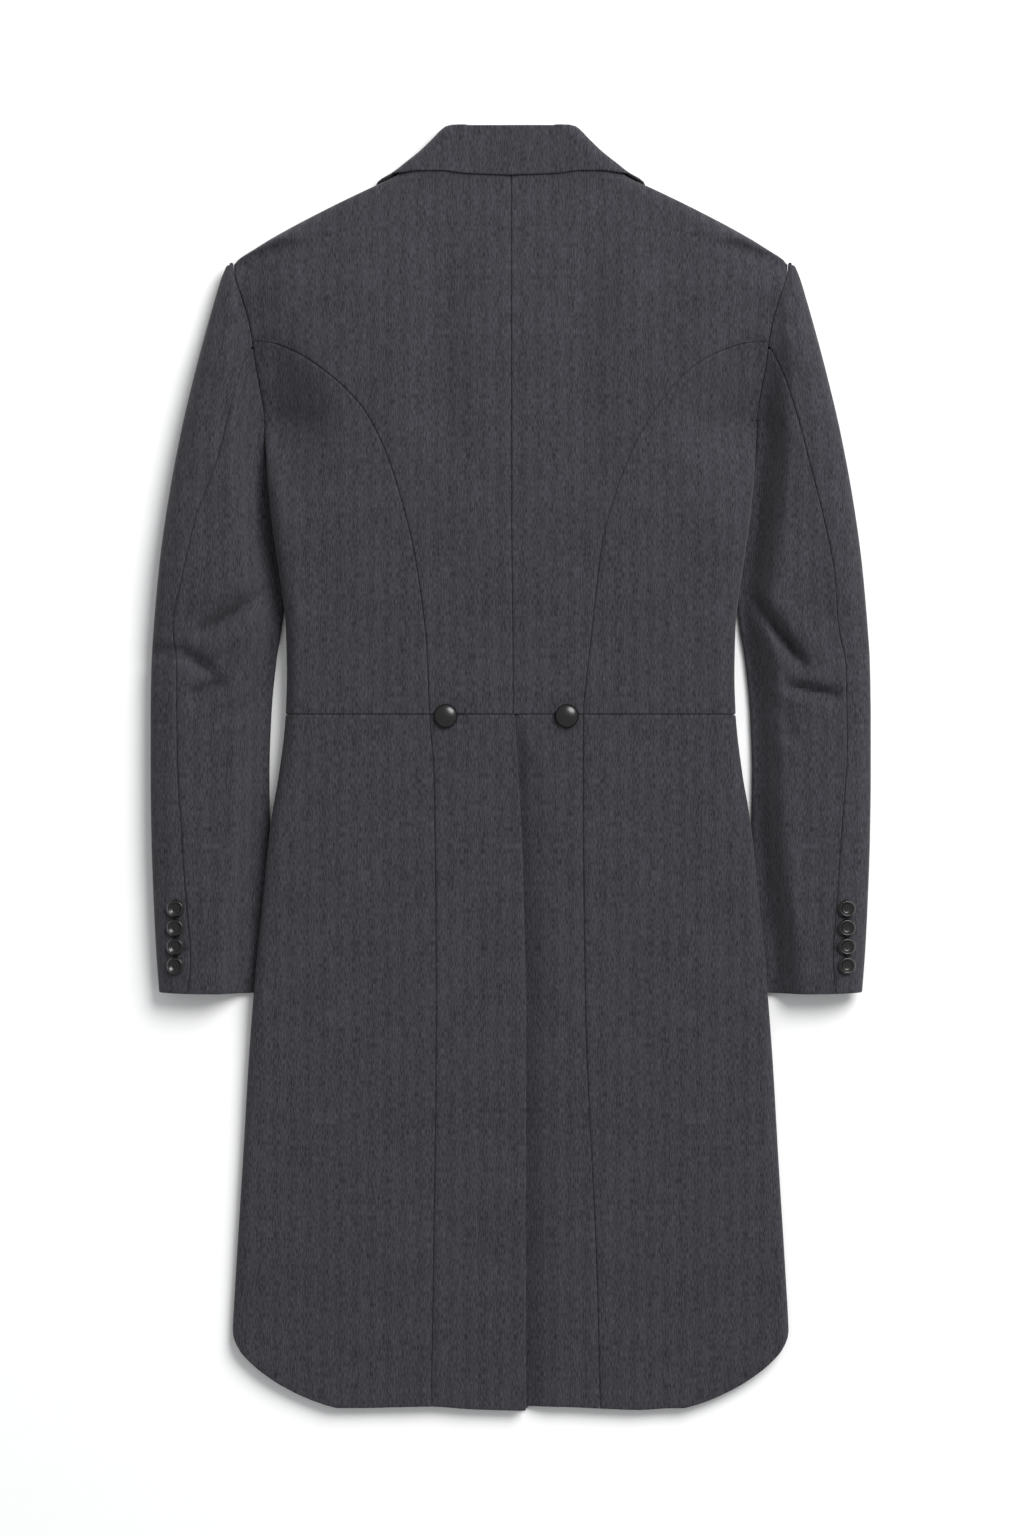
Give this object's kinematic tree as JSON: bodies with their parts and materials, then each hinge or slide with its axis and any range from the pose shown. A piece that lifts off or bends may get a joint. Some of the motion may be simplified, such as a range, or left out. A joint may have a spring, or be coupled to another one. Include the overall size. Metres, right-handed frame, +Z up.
{
  "type": "tailcoat",
  "caption": "Wool tailcoat of the morning cut with a waist seam, centre vent and rounded skirts, laid flat with its back up.",
  "frame": {"origin": "centre of the outline on the surface that the coat lies on", "axes": "+Y from hem to collar, +X from the coat's left side to its right side, +Z up out of its back"},
  "size_m": [0.6062, 1.086, 0.032],
  "materials": {
    "charcoal_wool": "matt charcoal-grey herringbone wool with fine lengthwise stripes",
    "black_button": "glossy black buttons"
  },
  "bodies": {
    "root": {"back_left": "charcoal_wool", "side_body_left": "charcoal_wool", "forepart_left": "charcoal_wool", "tail_left": "charcoal_wool", "skirt_left": "charcoal_wool", "top_sleeve_left": "charcoal_wool", "under_sleeve_left": "charcoal_wool", "lapel_left": "charcoal_wool", "waist_button_left": "black_button", "cuff_button_left_1": "black_button", "cuff_button_left_2": "black_button", "cuff_button_left_3": "black_button", "cuff_button_left_4": "black_button", "back_right": "charcoal_wool", "side_body_right": "charcoal_wool", "forepart_right": "charcoal_wool", "tail_right": "charcoal_wool", "skirt_right": "charcoal_wool", "top_sleeve_right": "charcoal_wool", "under_sleeve_right": "charcoal_wool", "lapel_right": "charcoal_wool", "waist_button_right": "black_button", "cuff_button_right_1": "black_button", "cuff_button_right_2": "black_button", "cuff_button_right_3": "black_button", "cuff_button_right_4": "black_button", "collar": "charcoal_wool", "collar_stand": "charcoal_wool"}
  },
  "joints": []
}
